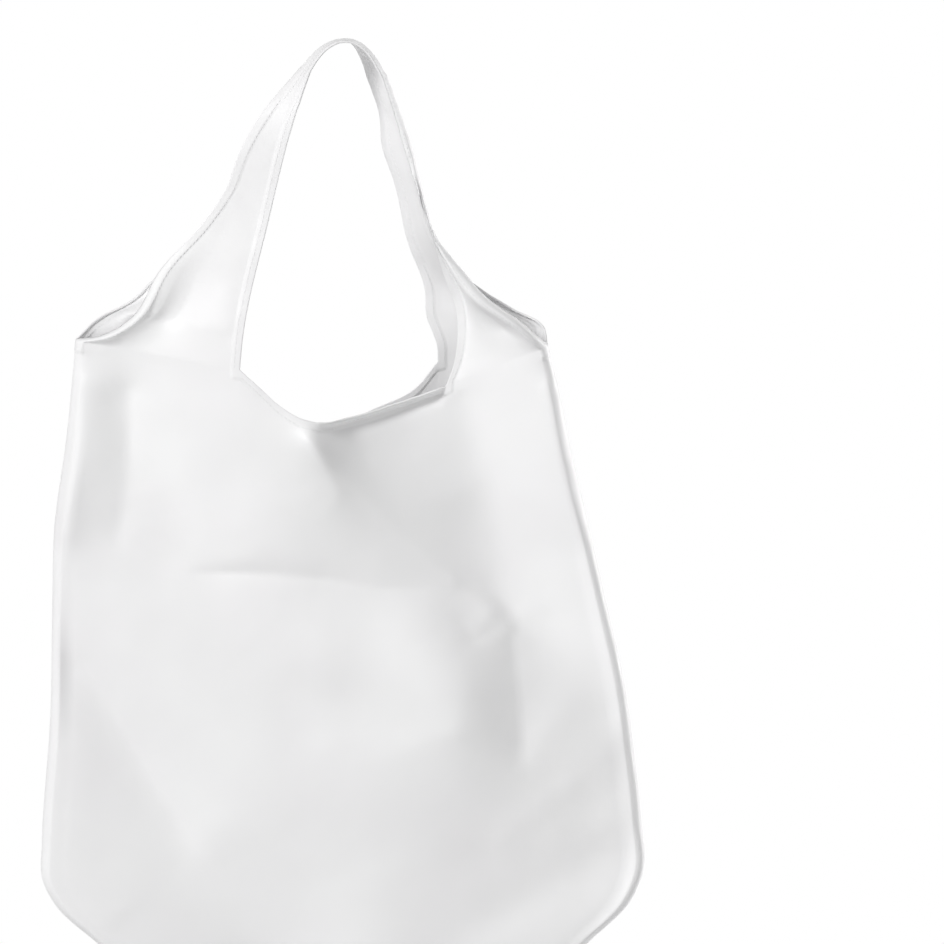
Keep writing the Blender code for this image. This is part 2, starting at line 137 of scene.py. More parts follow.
# Folds of a panel, in millimetres. Each has points (to the right, up) from its head to its tail, its height at
# both ends (valleys are negative), its reach to the left at both ends, its reach to the right at both ends, as
# seen when one walks down it, and its roundness (1 is a sharp crease, 2 is a soft swell)
FRONT_FOLDS = (
    # the left flank: a swell beside the seam and the valley next to it
    (((-163, -192), (-172, -239), (-186, -301)), (5.1, 19.3), (15, 12), (7, 13), 1.2),
    (((-126, -176), (-138, -224), (-134, -274), (-141, -303)), (-12.5, -10.3), (51, 54), (33, 29), 1.53),
    (((-171, -208), (-148, -189)), (-2.3, -0.8), (6, 6), (6, 8), 1.17),
    # the broad hollow that runs down to the pinch in the middle of the left half
    (((-134, -223), (-92, -267), (-94, -306)), (-7.3, -6.7), (64, 34), (35, 35), 2.21),
    # the crease that runs to the right from the pinch
    (((-77, -330), (-73, -330), (-46, -329), (-11, -333), (21, -341), (50, -340), (89, -345)),
     (-3.0, -3.2), (8, 15), (24, 15), 1.62),
    # the dent under the neckline and the wall down to the knob
    (((-17, -239), (-4, -266), (1, -273), (42, -307), (75, -336)), (10.2, -6.3), (12, 36), (29, 37), 2.1),
    (((71, -192), (92, -240), (102, -274), (107, -356)), (-18.9, -17.9), (41, 42), (46, 41), 2.29),
    # the knob and its facets
    (((68, -338), (84, -349), (90, -354)), (2.3, 3.7), (11, 5), (18, 12), 1.32),
    (((78, -373), (97, -365), (96, -351)), (-1.0, -1.7), (7, 7), (5, 5), 1.23),
    (((96, -359), (100, -366), (109, -373), (104, -387)), (2.7, -0.5), (5, 8), (8, 5), 1.43),
    # the valley under the knob and the swell beside it
    (((111, -386), (111, -400), (111, -428), (112, -438)), (-4.5, -3.3), (47, 18), (36, 13), 1.79),
    (((88, -379), (75, -406), (77, -443)), (9.0, 7.0), (32, 37), (29, 37), 1.95),
    # the folds that spread from the right seam
    (((174, -436), (139, -471), (98, -499)), (0.2, 1.2), (10, 14), (8, 12), 1.77),
    (((177, -456), (134, -493), (94, -513)), (-4.0, -1.6), (21, 18), (23, 23), 2.27),
    (((186, -486), (129, -498), (77, -544)), (0.4, 1.9), (12, 24), (10, 22), 1.92),
    (((163, -512), (149, -525), (77, -552)), (-9.2, -2.1), (37, 21), (24, 32), 1.96),
    # the long slanting valley in the lower left and its tip
    (((-189, -373), (-135, -444), (-98, -504)), (-5.9, -12.3), (19, 50), (23, 24), 1.78),
    (((-93, -508), (-70, -490), (-58, -458)), (3.9, -0.6), (18, 14), (23, 20), 1.84),
    # the soft dimple in the middle, and the swell that closes it below
    (((-11, -386), (-14, -416)), (3.2, 1.6), (22, 16), (24, 15), 1.93),
    (((69, -429), (25, -445), (-1, -460)), (2.6, 0.2), (16, 19), (16, 14), 1.61),
    # wide swells of the rest of the panel
    (((-100, -259), (-83, -321)), (1.9, 4.0), (20, 26), (13, 24), 1.91),
    (((-82, -461), (-29, -590)), (14.0, -20.6), (52, 44), (59, 51), 2.32),
    (((143, -324), (161, -417)), (-4.9, -6.6), (11, 18), (39, 21), 1.96),
    (((-90, -211), (-90, -243)), (-1.6, -1.1), (20, 22), (16, 32), 1.95),
    (((91, -185), (120, -272)), (5.6, 9.7), (29, 70), (17, 28), 2.15),
    (((68, -374), (-13, -415)), (18.3, -5.6), (70, 31), (58, 43), 1.85),
    (((-138, -326), (-116, -402)), (4.5, 8.2), (40, 43), (23, 33), 2.32),
    # smaller folds
    (((-159, -214), (-156, -254)), (2.6, 1.7), (14, 12), (15, 13), 2.01),
    (((62, -345), (88, -346), (87, -356)), (-0.4, 0.3), (5, 5), (5, 5), 1.29),
    (((95, -354), (83, -376), (73, -361)), (-0.2, -1.3), (5, 7), (5, 5), 1.35),
    (((102, -356), (108, -365), (101, -380)), (-3.5, 0.0), (11, 5), (5, 5), 1.39),
    (((68, -427), (71, -410), (81, -392)), (0.6, 0.0), (7, 7), (7, 7), 1.33),
    (((118, -444), (127, -426), (136, -395)), (2.0, -0.6), (13, 12), (13, 14), 1.66),
    (((141, -463), (114, -483), (89, -499)), (1.1, -0.1), (11, 8), (8, 8), 1.48),
    (((178, -512), (145, -536), (94, -570)), (-0.3, 2.2), (8, 18), (9, 15), 1.87),
    (((-27, -425), (-7, -436)), (-0.5, 0.6), (12, 12), (12, 14), 1.61),
    (((8, -520), (34, -567)), (-2.3, -4.4), (32, 27), (20, 43), 1.82),
    (((-139, -526), (-131, -574)), (1.0, -2.0), (23, 26), (20, 34), 1.75),
    (((-22, -245), (-12, -261), (-5, -275)), (8.1, 1.9), (8, 5), (8, 8), 1.39),
    (((68, -220), (106, -310)), (11.3, 4.2), (50, 70), (31, 68), 2.14),
    # sharp creases along the pinch, the wall, the left flank and the valleys on the left and under the knob
    (((-92, -330), (-73, -329), (-45, -330), (-12, -333), (19, -338), (47, -340)),
     (-1.1, -0.6), (4, 4), (4, 4), 1.05),
    (((-18, -248), (-1, -269), (11, -282), (40, -310), (68, -336)), (1.2, 0.9), (5, 5), (5, 5), 1.05),
    (((-138, -192), (-136, -231), (-140, -282), (-144, -311)), (-1.2, -0.6), (5, 5), (5, 5), 1.05),
    (((-168, -390), (-134, -448), (-98, -506)), (-1.0, -1.1), (5, 5), (5, 5), 1.05),
    (((104, -371), (109, -409), (110, -447)), (-1.2, -0.9), (4, 4), (4, 4), 1.05),
    # a short light crease low on the left
    (((-141, -544), (-156, -557)), (0.7, 0.5), (3, 3), (3, 3), 1.1),
)
BACK_FOLDS = (
    (((-110, -230), (-60, -330), (10, -400)), (-8, -4), (22, 26), (24, 30), 1.5),
    (((72, -205), (100, -290), (60, -410)), (9, -4), (40, 30), (36, 26), 1.7),
    (((-150, -440), (-60, -490), (30, -500)), (-5, -3), (22, 22), (22, 22), 1.6),
    (((-172, -300), (-120, -350), (-70, -370)), (4, 1), (10, 18), (12, 16), 1.4),
    (((165, -380), (110, -420), (60, -430)), (4, 1), (10, 16), (12, 16), 1.4),
    (((170, -480), (120, -500), (60, -540)), (-4, -2), (10, 14), (12, 16), 1.4),
    (((-20, -260), (-6, -300), (10, -340)), (4, 1), (12, 22), (14, 22), 1.4),
)
# Slow swells of the front panel: half-waves across, half-waves down and height in millimetres
FRONT_SWELLS = (
    (1, 0, -24.0), (1, 1, 5.0), (1, 2, -0.7),
    (2, 0, 3.2), (2, 1, 11.9), (2, 2, 4.2),
    (3, 0, -10.0), (3, 1, 1.2), (3, 2, 1.4),
)
FOLDS = {FRONT: FRONT_FOLDS, BACK: BACK_FOLDS}
# The folds fade out this close to the seams and the bottom, and a groove runs along each side seam
FOLD_FADE = 0.012
SEAM_GROOVE_PLACE = 0.0036
SEAM_GROOVE_WIDTH = 0.0011
SEAM_GROOVE_DEPTH = 0.0008

# The roll of the front neckline's hem, at shares of its length
ROLL_START = (0.39, 0.47)
ROLL_END = (0.96, 1.0)
ROLL_DEPTH = 0.0068
ROLL_HEIGHT = 0.0036
ROLL_PULL = 0.0024
ROLL_PULL_REACH = 0.007

# Small unevenness of the cloth
CRUMPLES = ((42.0, 0.0003), (95.0, 0.00014))
PUCKER_SCALE = 130.0
PUCKER_HEIGHT = 0.0003
PUCKER_REACH = 0.012

# Stitches
STITCH_PLACE = 0.4
STITCH_PITCH = 0.0030
STITCH_LENGTH = 0.0021
STITCH_RADIUS = 0.00022
STITCH_SIDES = 6
STITCH_FLATNESS = 0.8
STITCH_SEARCH = 0.004
STITCH_RINGS = ((-0.5, 0.0), (-0.4, 0.75), (0.0, 1.0), (0.4, 0.75), (0.5, 0.0))

# Rows and columns of cells
CURVE_STEPS = 12
STRIP_COLUMNS = 36
NECK_COLUMNS = 48
FLAT_ROWS = 112
ROW_SAMPLES = 1000
CREASE_PLACE = 0.33
CREASE_SPAN = 0.11
CREASE_DENSITY = 0.8
CREASE_BOXINESS = 4
ROUNDED_ROWS = 14
LEG_ROWS = 84
ARCH_ROWS = 34
SPREAD_ROWS = 14
SHOULDER_SHARES = {LEFT: 0.45, RIGHT: 0.75}
BEND_START = (0.05, 0.25)
RUN_ON_START = (0.25, 0.6)
BEND_REACH = 0.035
WELD_DISTANCE = 0.00002
JOIN_PASSES = 90
JOIN_REACH = 0.022
SMOOTHING = 0.5

# Cloth and thread
CLOTH_COLOURS = ((0.87, 0.87, 0.872, 1.0), (0.855, 0.85, 0.857, 1.0))
CLOTH_ROUGHNESS = 0.5
CLOTH_WEAVE = 700.0
THREAD_COLOURS = ((0.84, 0.84, 0.845, 1.0), (0.82, 0.82, 0.825, 1.0))
THREAD_ROUGHNESS = 0.6
THREAD_WEAVE = 1500.0
ROUGHNESS_SPREAD = 0.06
SHEEN_WEIGHT = 0.12
SHEEN_ROUGHNESS = 0.4
SPECULAR_LEVEL = 0.35
CLOUD_SCALE = 9.0
CLOUD_DETAIL = 3.0
CLOUD_RANGE = (0.35, 0.65)
GLOSS_SCALE = 60.0
GLOSS_DETAIL = 4.0
GLOSS_RANGE = (0.3, 0.7)
WEAVE_DISTORTION = 0.6
WEAVE_DETAIL = 1.0
WEAVE_HEIGHT = 0.00002
GRAIN_SCALE = 260.0
GRAIN_DETAIL = 5.0
GRAIN_HEIGHT = 0.00005
BUMP_STRENGTH = 0.2

# Floor, light and camera
WHITE = (1.0, 1.0, 1.0, 1.0)
FLOOR_LEVEL = -0.95
FLOOR_RADIUS = 6.0
FLOOR_SIDES = 96
FLOOR_COLOUR = (0.8, 0.8, 0.8, 1.0)
FLOOR_ROUGHNESS = 0.9
FLOOR_FADE_REACHES = (0.4, 1.4)
FLOOR_FADE_SHARES = (0.45, 1.0)
WORLD_LIGHT = 0.27
LAMPS = (
    ("key", (-3.8, -4.1, 3.3), 2.1, 305.0),
    ("side fill", (2.6, -1.4, 0.2), 2.0, 9.0),
    ("right rim", (2.4, 1.7, 0.1), 1.5, 50.0),
)
AIM = Vector((0.0, 0.0, -0.30))
CAMERA_ELEVATION = 6.0
CAMERA_DISTANCE = 4.0
VIEW_CENTRE = Vector((0.0788, 0.0, -0.2686))
VIEW_WIDTH = 0.5947
SENSOR_WIDTH = 36.0
CAMERA_SIGHT = 50.0


def between(start, end, share):
    """The point a share of the way from start to end."""
    return start + (end - start) * share


def smooth_step(value, start, end):
    """Eases from 0 at start to 1 at end."""
    share = np.clip((value - start) / (end - start), 0.0, 1.0)
    return share * share * (3.0 - 2.0 * share)


def bowed(start, end, bow):
    """Points of an edge that bows sideways and in depth between its ends."""
    return [start, *[between(start, end, s) + np.array((right, rear, 0.0)) for s, right, rear in bow], end]


def sagging(start, end, sag):
    """Points of a neckline that hangs under the straight line between its corners."""
    return [start, *[between(start, end, s) - np.array((0.0, 0.0, down)) for s, down in sag], end]


def smooth_edge(points, shares):
    """Points at shares of the length of a smooth curve through the given points."""
    points = np.array(points)
    spans = np.linalg.norm(np.diff(points, axis=0), axis=1)
    slopes = np.diff(points, axis=0) / spans[:, None]
    tangents = [slopes[0]]
    for before, after, slope_in, slope_out in zip(spans, spans[1:], slopes, slopes[1:]):
        tangents.append((slope_in * after + slope_out * before) / (before + after))
    tangents.append(slopes[-1])
    fine = [points[0]]
    for i, span in enumerate(spans):
        for t in np.linspace(0.0, 1.0, CURVE_STEPS + 1)[1:]:
            start_part = points[i] * (2 * t**3 - 3 * t**2 + 1) + points[i + 1] * (3 * t**2 - 2 * t**3)
            turn_part = tangents[i] * (t**3 - 2 * t**2 + t) + tangents[i + 1] * (t**3 - t**2)
            fine.append(start_part + turn_part * span)
    fine = np.array(fine)
    lengths = np.concatenate([[0.0], np.cumsum(np.linalg.norm(np.diff(fine, axis=0), axis=1))])
    places = np.asarray(shares) * lengths[-1]
    return np.stack([np.interp(places, lengths, fine[:, axis]) for axis in range(3)], axis=1)


def lens(share, side):
    """Depth of the puffed body across its width: 0 at the side seams and 1 half-way."""
    return (4.0 * np.clip(share * (1.0 - share), 0.0, 1.0)) ** SIDE_ROUNDNESSES[side]


def swell_height(swells, across, down):
    """How far the slow swells push a panel out, at shares of its width and height."""
    height = np.zeros_like(across)
    for half_waves_across, half_waves_down, rise in swells:
        wave = np.sin(half_waves_across * math.pi * across) * np.cos(half_waves_down * math.pi * down)
        height += rise * MM * wave
    return height


def row_shares():
    """Shares of the body's height at each row: the hem, the flat of the panel and the rounded bottom."""
    hem = np.array([0.0, *HEM_PLACES]) / PANEL_HEIGHT
    flat_end = 1.0 - BOTTOM_ROUNDING / PANEL_HEIGHT
    places = np.linspace(hem[-1], flat_end, ROW_SAMPLES)
    density = 1.0 + CREASE_DENSITY * np.exp(-(((places - CREASE_PLACE) / CREASE_SPAN) ** CREASE_BOXINESS))
    walked = np.concatenate([[0.0], np.cumsum((density[1:] + density[:-1]) / 2)])
    flat = np.interp(np.linspace(0.0, walked[-1], FLAT_ROWS + 1)[1:], walked, places)
    turns = np.linspace(0.0, math.pi / 2, ROUNDED_ROWS + 1)[1:]
    return np.concatenate([hem, flat, flat_end + (1.0 - flat_end) * np.sin(turns)])


def body_depth(side, down, across):
    """How far a body point lies behind the side seams, at shares of the height and of the width."""
    top, bottom = DEPTHS[side]
    rounding = BOTTOM_ROUNDING / PANEL_HEIGHT
    under = np.clip((down - 1.0 + rounding) / rounding, 0.0, 1.0)
    closing = (1.0 - under**BOTTOM_BOXINESS) ** (1.0 / BOTTOM_BOXINESS)
    return side * between(top, bottom, down) * lens(across, side) * closing


def column_shares(width, spread=0.0):
    """Shares across a strip: hems on both sides, of which the inner one spreads out down the body."""
    hem = np.array([0.0, *HEM_PLACES]) / width
    hem = hem * min(1.0, WIDEST_HEM_SHARE / hem[-1])
    inner = np.linspace(hem[-1], 1.0 - hem[-1], STRIP_COLUMNS - 2 * len(HEM_PLACES) + 1)[1:-1]
    hemmed = np.concatenate([hem, inner, 1.0 - hem[::-1]])
    kept = len(hem)
    loose = np.concatenate([hem, np.linspace(hem[-1], 1.0, STRIP_COLUMNS + 2 - kept)[1:]])
    return between(hemmed, loose, spread)


def neck_corner(side, hand):
    """The corner between the neckline and a leg of the handle, on the puffed body's surface."""
    x, z = NECK_CORNERS[side, hand]
    left, right = SHOULDER_TIPS[LEFT][0], SHOULDER_TIPS[RIGHT][0]
    return np.array((x, body_depth(side, 0.0, (x - left) / (right - left)), z))


def side_seam(hand):
    """Points down a side seam, round the boxed corner and along its cut to the bottom."""
    corner = BOXED_CORNERS[hand]
    swell = np.array((hand * CORNER_SWELL, 0.0, -CORNER_SWELL))
    cut = [between(corner, FEET[hand], share) + swell for share in CORNER_CUT_SHARES]
    return [*bowed(SHOULDER_TIPS[hand], corner, SEAM_BOWS[hand]), *cut, FEET[hand]]


def arch_line():
    """The middle line of the band over the top of the handle, from its left end to its right end."""
    points = []
    for x in np.linspace(-JOIN_REACHES[LEFT], JOIN_REACHES[RIGHT], ARCH_POINTS):
        hand = LEFT if x < 0 else RIGHT
        z = ARCH_RISE - (ARCH_RISE + JOIN_DROPS[hand]) * abs(x / JOIN_REACHES[hand]) ** ARCH_ROUNDNESS
        points.append(np.array((x, 0.0, z)))
    return points


def band_edge(side):
    """The free edge of one half of the band over the handle."""
    line = arch_line()
    points = []
    for point, share in zip(line, np.linspace(0.0, 1.0, len(line))):
        turn = LEFT_BAND_TURN * (1.0 - share) ** 2 - RIGHT_BAND_TURNS[side] * share**2
        points.append(point + np.array((turn, side * BAND_HALF_WIDTH, -BAND_DROOP)))
    return points


def fold_height(folds, places):
    """How far the folds push points (to the right, up) out of their panel."""
    height = np.zeros(len(places))
    for points, rises, left_reaches, right_reaches, roundness in folds:
        line = np.array(points, float) * MM
        lengths = np.linalg.norm(np.diff(line, axis=0), axis=1)
        walked = np.concatenate([[0.0], np.cumsum(lengths)]) / lengths.sum()
        gap = np.full(len(places), FAR)
        along = np.zeros(len(places))
        to_right = np.zeros(len(places))
        for i, run in enumerate(np.diff(line, axis=0)):
            offset = places - line[i]
            share = np.clip(offset @ run / (run @ run), 0.0, 1.0)
            distance = np.linalg.norm(offset - share[:, None] * run, axis=1)
            nearer = distance < gap
            gap = np.where(nearer, distance, gap)
            along = np.where(nearer, between(walked[i], walked[i + 1], share), along)
            crossing = (run[1] * offset[:, 0] - run[0] * offset[:, 1]) / np.linalg.norm(run)
            to_right = np.where(nearer, crossing / np.maximum(distance, TINY), to_right)
        along = smooth_step(along, 0.0, 1.0)
        rise = between(rises[0], rises[1], along) * MM
        left_reach = between(left_reaches[0], left_reaches[1], along) * MM
        right_reach = between(right_reaches[0], right_reaches[1], along) * MM
        reach = between(left_reach, right_reach, (1.0 + np.clip(to_right, -1.0, 1.0)) / 2.0)
        height += rise * np.exp(-((gap / reach) ** roundness))
    return height


def body_grids(side):
    """The left, middle and right blocks of a panel under its neckline, as rows from the top down."""
    shares = row_shares()
    seams = {hand: smooth_edge(side_seam(hand), shares) for hand in (LEFT, RIGHT)}
    columns = np.linspace(0.0, 1.0, NECK_COLUMNS + 1)
    corners = [neck_corner(side, hand) for hand in (LEFT, RIGHT)]
    neckline = smooth_edge(sagging(*corners, NECK_SAGS[side]), columns)
    foot_x = between(-INNER_FOOT_REACH, INNER_FOOT_REACH, columns)
    foot_line = np.stack([foot_x, np.zeros_like(foot_x), np.full_like(foot_x, -BAG_DROP)], axis=1)
    middle = np.array([between(neckline, foot_line, share) for share in shares])
    blocks = {LEFT: [], RIGHT: []}
    for row in range(len(shares)):
        spread = smooth_step(row, len(HEM_PLACES), len(HEM_PLACES) + SPREAD_ROWS)
        for hand, inner in ((LEFT, middle[:, 0]), (RIGHT, middle[:, -1])):
            seam = seams[hand][row]
            width = np.linalg.norm(inner[row] - seam)
            blocks[hand].append([between(seam, inner[row], share) for share in column_shares(width, spread)])
    blocks = [np.array(blocks[LEFT]), middle, np.array(blocks[RIGHT])]
    left_x, right_x = seams[LEFT][:, :1], seams[RIGHT][:, :1]
    for block in blocks:
        down = np.broadcast_to(shares[:, None], block.shape[:2])
        across = np.clip((block[:, :, 0] - left_x) / (right_x - left_x), 0.0, 1.0)
        to_seam = np.minimum(across, 1.0 - across) * (right_x - left_x)
        to_edge = np.minimum(to_seam, (1.0 - down) * PANEL_HEIGHT)
        fade = smooth_step(to_edge, 0.0, FOLD_FADE)
        height = fold_height(FOLDS[side], block[:, :, ::2].reshape(-1, 2)).reshape(block.shape[:2])
        lower = np.clip((NECK_CORNERS[FRONT, LEFT][1] - block[:, :, 2]) / PANEL_HEIGHT, 0.0, 1.0)
        if side == FRONT:
            height += swell_height(FRONT_SWELLS, across, lower)
        groove = SEAM_GROOVE_DEPTH * np.exp(-(((to_seam - SEAM_GROOVE_PLACE) / SEAM_GROOVE_WIDTH) ** 2))
        block[:, :, 1] = body_depth(side, down, across) + side * (height * fade - groove)
    if side == FRONT:
        roll_neckline(blocks[1])
    return blocks


def roll_neckline(block):
    """Turns the right part of the neckline's hem over to look down, and pulls its stitches in."""
    columns = np.linspace(0.0, 1.0, block.shape[1])
    amount = smooth_step(columns, *ROLL_START) * (1.0 - smooth_step(columns, *ROLL_END))
    for row, share in enumerate(row_shares()):
        down = share * PANEL_HEIGHT
        turned = ROLL_DEPTH * max(1.0 - down / ROLL_HEIGHT, 0.0)
        pulled = ROLL_PULL * math.exp(-((max(down - ROLL_HEIGHT, 0.0) / ROLL_PULL_REACH) ** 2))
        block[row, :, 1] -= amount * (turned - pulled)


def strip_between(outer, inner):
    """Rows of points across a strip of cloth, from its outer edge to its inner edge."""
    widths = np.linalg.norm(inner - outer, axis=1)
    return np.array([[between(a, b, s) for s in column_shares(w)] for a, b, w in zip(outer, inner, widths)])


def rise_up(lower, upper):
    """How much a panel's depth grows per metre on the way from one row of its points up to another."""
    return (upper[:, 1] - lower[:, 1]) / np.maximum(np.linalg.norm((upper - lower)[:, ::2], axis=1), TINY)


def run_on(body, ways):
    """How much a panel's depth would grow per metre if it ran on past its top row without a kink.

    The ways are steps (to the right, up) from the points of the top row.
    """
    along = np.gradient(body[0], axis=0)
    up = body[0] - body[len(HEM_PLACES)]
    matrix = np.stack([up[:, ::2], along[:, ::2]], axis=1)
    slopes = np.linalg.solve(matrix, np.stack([up[:, 1], along[:, 1]], axis=1)[:, :, None])[:, :, 0]
    return (slopes * ways).sum(axis=1) / np.maximum(np.linalg.norm(ways, axis=1), TINY)


def leg_grid(side, hand, body):
    """A leg of the handle, which grows out of the top row of its part of the body without a kink."""
    arch_end = 0 if hand == LEFT else -1
    shares = np.linspace(0.0, 1.0, LEG_ROWS + 1)
    outer_points = bowed(SHOULDER_TIPS[hand], arch_line()[arch_end], OUTER_BOWS[side, hand])
    inner_points = bowed(neck_corner(side, hand), band_edge(side)[arch_end], INNER_BOWS[side, hand])
    grid = strip_between(smooth_edge(outer_points, shares), smooth_edge(inner_points, shares))
    fade = 1.0 - smooth_step(shares, 0.0, SHOULDER_SHARES[hand])
    grid = grid + (body[0] - grid[0]) * fade[:, None, None]
    columns = np.linspace(0.0, 1.0, grid.shape[1])
    rise = rise_up(body[len(HEM_PLACES)], body[0])
    if hand == LEFT:
        rise = between(rise, run_on(body, (grid[1] - grid[0])[:, ::2]), smooth_step(columns, *RUN_ON_START))
    bend = (rise - rise_up(grid[0], grid[1])) * smooth_step(columns, *BEND_START)
    steps = np.diff(grid[:, :, ::2], axis=0, prepend=grid[:1, :, ::2])
    above = np.cumsum(np.linalg.norm(steps, axis=2), axis=0)
    grid[:, :, 1] += bend * above * np.exp(-((above / BEND_REACH) ** 2))
    return grid


def arch_grid(side):
    """One half of the band over the top of the handle."""
    shares = np.linspace(0.0, 1.0, ARCH_ROWS + 1)
    return strip_between(smooth_edge(arch_line(), shares), smooth_edge(band_edge(side), shares))


def hem_marks(grid, place):
    """Marks the points of a grid on a hem, which runs along the named part of its edge."""
    marks = np.zeros(grid.shape[:2], bool)
    if place == "top":
        marks[:HEMMED + 1] = True
    if place == "sides":
        marks[:, :HEMMED + 1] = True
    if place in ("sides", "inner side"):
        marks[:, -HEMMED - 1:] = True
    if place == "corners":
        marks[:HEMMED + 1, :HEMMED + 1] = True
        marks[:HEMMED + 1, -HEMMED - 1:] = True
    return marks


def panel_grids(side):
    """Every grid of a panel with the marks of its hems."""
    left, middle, right = body_grids(side)
    grids = [
        (left, "corners"), (middle, "top"), (right, "corners"),
        (leg_grid(side, LEFT, left), "sides"), (leg_grid(side, RIGHT, right), "sides"),
        (arch_grid(side), "inner side"),
    ]
    return [(grid, hem_marks(grid, place)) for grid, place in grids]


def add_grid(cloth, weights, grid, marks):
    """Adds a grid's cells to the cloth, with the share of the hem's wall at each point."""
    rows, columns = grid.shape[:2]
    points = [[cloth.verts.new(grid[row, column]) for column in range(columns)] for row in range(rows)]
    for row in range(rows):
        for column in range(columns):
            points[row][column][weights][0] = 1.0 if marks[row, column] else WALL / HEM_WALL
    for row in range(rows - 1):
        for column in range(columns - 1):
            upper = points[row][column:column + 2]
            lower = points[row + 1][column:column + 2]
            cloth.faces.new((upper[0], upper[1], lower[1], lower[0]))


def soften(cloth, weights):
    """Evens out the depth of the cloth near the rows where the legs of the handle grow out of the body."""
    seam_or_edge = {vert for vert in cloth.verts if abs(vert.co.y) < WELD_DISTANCE or vert.is_boundary}
    near_edge = {other for vert in seam_or_edge for edge in vert.link_edges for other in edge.verts}
    inner = [vert for vert in cloth.verts if vert not in near_edge and vert[weights][0] < 1.0]
    joined = [vert for vert in inner if near_join(vert.co)]
    cloth.verts.index_update()
    numbers = [vert.index for vert in joined]
    around = np.array([[edge.other_vert(vert).index for edge in vert.link_edges] for vert in joined])
    places = np.array([vert.co for vert in cloth.verts])
    pulls = 1.0 / np.linalg.norm(places[around] - places[numbers][:, None], axis=2)
    pulls /= pulls.sum(axis=1, keepdims=True)
    depths = places[:, 1]
    for _ in range(JOIN_PASSES):
        depths[numbers] = between(depths[numbers], (depths[around] * pulls).sum(axis=1), SMOOTHING)
    for vert, depth in zip(joined, depths[numbers]):
        vert.co.y = depth


def near_join(place):
    """Whether a point lies near the row where a leg of the handle grows out of the body."""
    side = FRONT if place.y < 0.0 else BACK
    hand = LEFT if place.x < 0.0 else RIGHT
    corner_x, corner_z = NECK_CORNERS[side, hand]
    tip = SHOULDER_TIPS[hand]
    share = (place.x - tip[0]) / (corner_x - tip[0])
    row_z = between(tip[2], corner_z, share)
    return share < 1.0 and abs(place.z - row_z) < JOIN_REACH


def uneven(cloth):
    """Adds slight crumples all over and puckers along the hems."""
    cloth.normal_update()
    edges = [vert.co.copy() for vert in cloth.verts if vert.is_boundary]
    tree = kdtree.KDTree(len(edges))
    for number, place in enumerate(edges):
        tree.insert(place, number)
    tree.balance()
    for vert in cloth.verts:
        if abs(vert.co.y) < WELD_DISTANCE:
            continue
        gap = tree.find(vert.co)[2]
        height = sum(rise * noise.noise(vert.co * scale) for scale, rise in CRUMPLES)
        height *= min(gap / PUCKER_REACH, 1.0)
        near = math.exp(-((gap / PUCKER_REACH) ** 2))
        height += near * PUCKER_HEIGHT * noise.noise(vert.co * PUCKER_SCALE)
        vert.co += vert.normal * height


def make_cloth():
    """The whole bag as one sheet, with its wall."""
    cloth = bmesh.new()
    weights = cloth.verts.layers.deform.verify()
    for side in (FRONT, BACK):
        for grid, marks in panel_grids(side):
            add_grid(cloth, weights, grid, marks)
    bmesh.ops.remove_doubles(cloth, verts=cloth.verts, dist=WELD_DISTANCE)
    soften(cloth, weights)
    bmesh.ops.recalc_face_normals(cloth, faces=cloth.faces)
    uneven(cloth)
    mesh = bpy.data.meshes.new("bag_cloth")
    cloth.to_mesh(mesh)
    cloth.free()
    mesh.shade_smooth()
    piece = bpy.data.objects.new("bag_cloth", mesh)
    piece.vertex_groups.new(name="wall")
    bpy.context.scene.collection.objects.link(piece)
    wall = piece.modifiers.new("wall", "SOLIDIFY")
    wall.thickness = HEM_WALL
    wall.offset = 0.0
    wall.vertex_group = "wall"
    return piece


def stitch_lines():
    """The lines of stitches on every hem, each with its panel's side."""
    lines = []
    first = HEMMED - 1
    for side in (FRONT, BACK):
        _, middle, _, left_leg, right_leg, arch = (grid for grid, _ in panel_grids(side))
        lines.append((side, between(middle[first], middle[first + 1], STITCH_PLACE)))
        for grid in (left_leg, right_leg):
            lines.append((side, between(grid[:, first], grid[:, first + 1], STITCH_PLACE)))
        for grid in (left_leg, right_leg, arch):
            lines.append((side, between(grid[:, -first - 1], grid[:, -first - 2], STITCH_PLACE)))
    return lines


def make_stitches(cloth):
    """The thread of all hems, on both faces of the cloth."""
    surface = BVHTree.FromObject(cloth, bpy.context.evaluated_depsgraph_get())
    thread = bmesh.new()
    for side, line in stitch_lines():
        lengths = np.concatenate([[0.0], np.cumsum(np.linalg.norm(np.diff(line, axis=0), axis=1))])
        for place in np.arange(STITCH_PITCH / 2, lengths[-1], STITCH_PITCH):
            middle, ahead = (
                Vector([np.interp(at, lengths, line[:, axis]) for axis in range(3)])
                for at in (place, place + STITCH_LENGTH / 2)
            )
            for face in (-1, 1):
                off = Vector((0.0, face * side * STITCH_SEARCH, 0.0))
                add_stitch(thread, surface, middle, ahead - middle, off)
    mesh = bpy.data.meshes.new("stitches")
    thread.to_mesh(mesh)
    thread.free()
    mesh.shade_smooth()
    piece = bpy.data.objects.new("stitches", mesh)
    bpy.context.scene.collection.objects.link(piece)
    return piece


